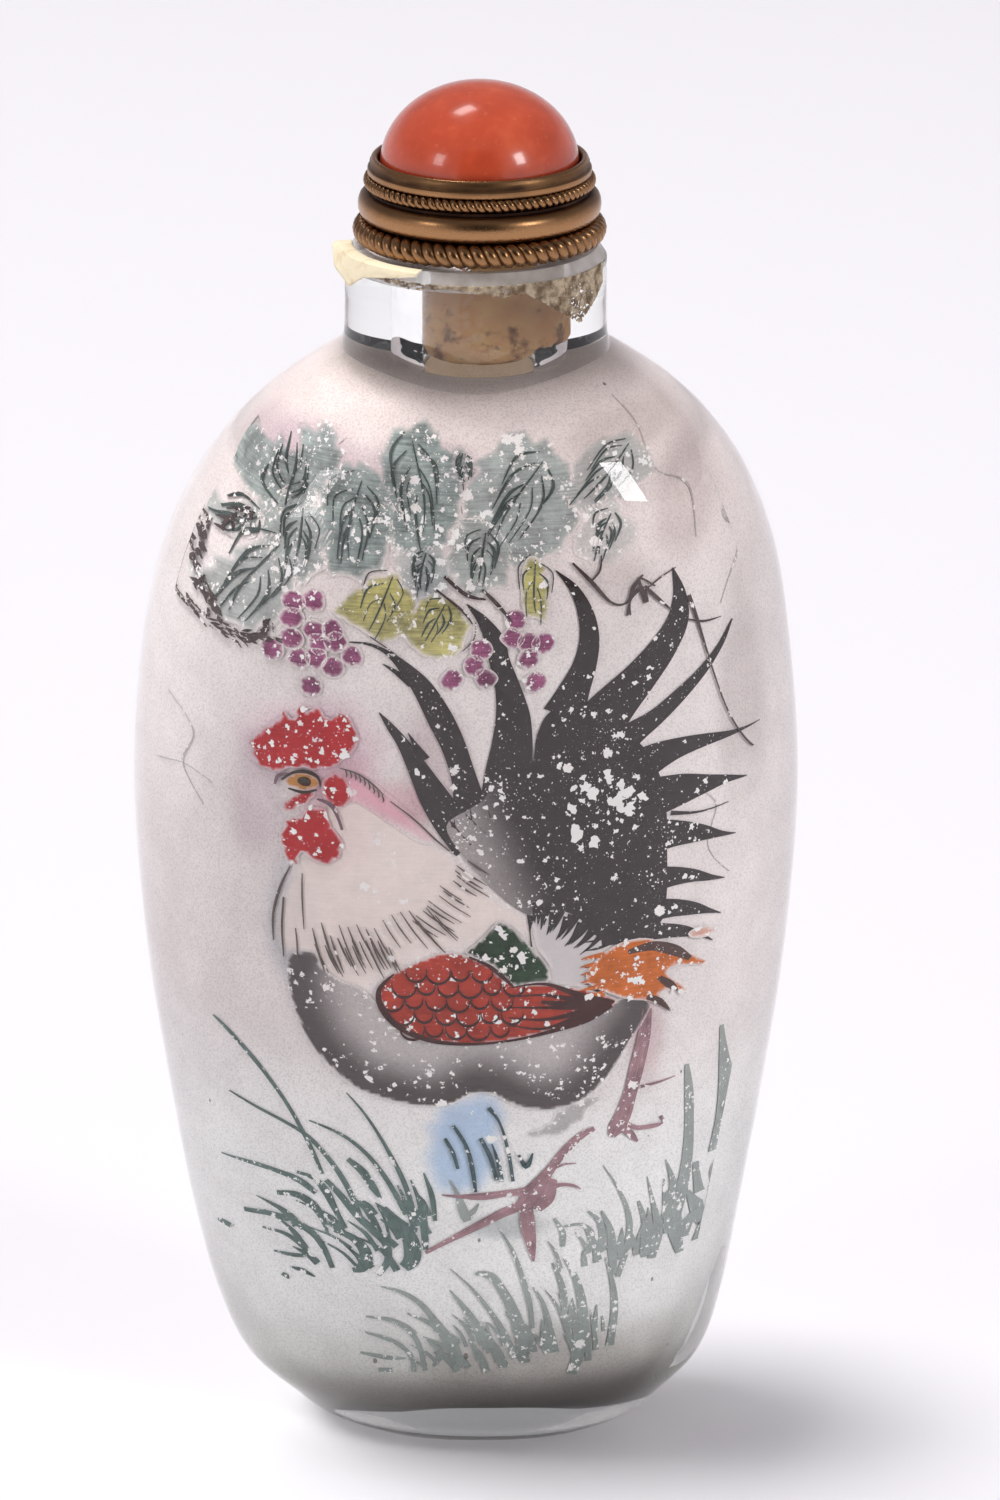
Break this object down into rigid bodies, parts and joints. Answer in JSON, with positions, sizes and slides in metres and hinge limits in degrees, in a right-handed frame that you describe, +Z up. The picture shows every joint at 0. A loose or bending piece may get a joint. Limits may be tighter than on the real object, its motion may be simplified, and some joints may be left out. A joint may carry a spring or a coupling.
{
  "type": "snuff bottle",
  "caption": "Flattened clear-glass bottle painted on the inside, with a cork stopper under a brass collar and a domed coral-red bead.",
  "frame": {"origin": "middle of the bounding box's underside, at the height of the surface that the bottle stands on", "axes": "+Z up through the stopper, -Y out of the painted front, +X to the right seen from the front"},
  "size_m": [0.042, 0.0276, 0.0877],
  "materials": {
    "clear_glass": "polished, frosted and painted on the inner wall",
    "cork": "raw cork, stained",
    "aged_brass": "satin, aged brown in the grooves",
    "rope_brass": "satin, aged brown between the strands",
    "coral_red": "polished, slightly mottled",
    "old_paper": "matt, torn edges"
  },
  "bodies": {
    "root": {"bottle": "clear_glass", "cork": "cork", "stopper_collar": "aged_brass", "lower_rope_wire": "rope_brass", "upper_rope_wire": "rope_brass", "cabochon": "coral_red", "paper_scrap": "old_paper"}
  },
  "joints": []
}
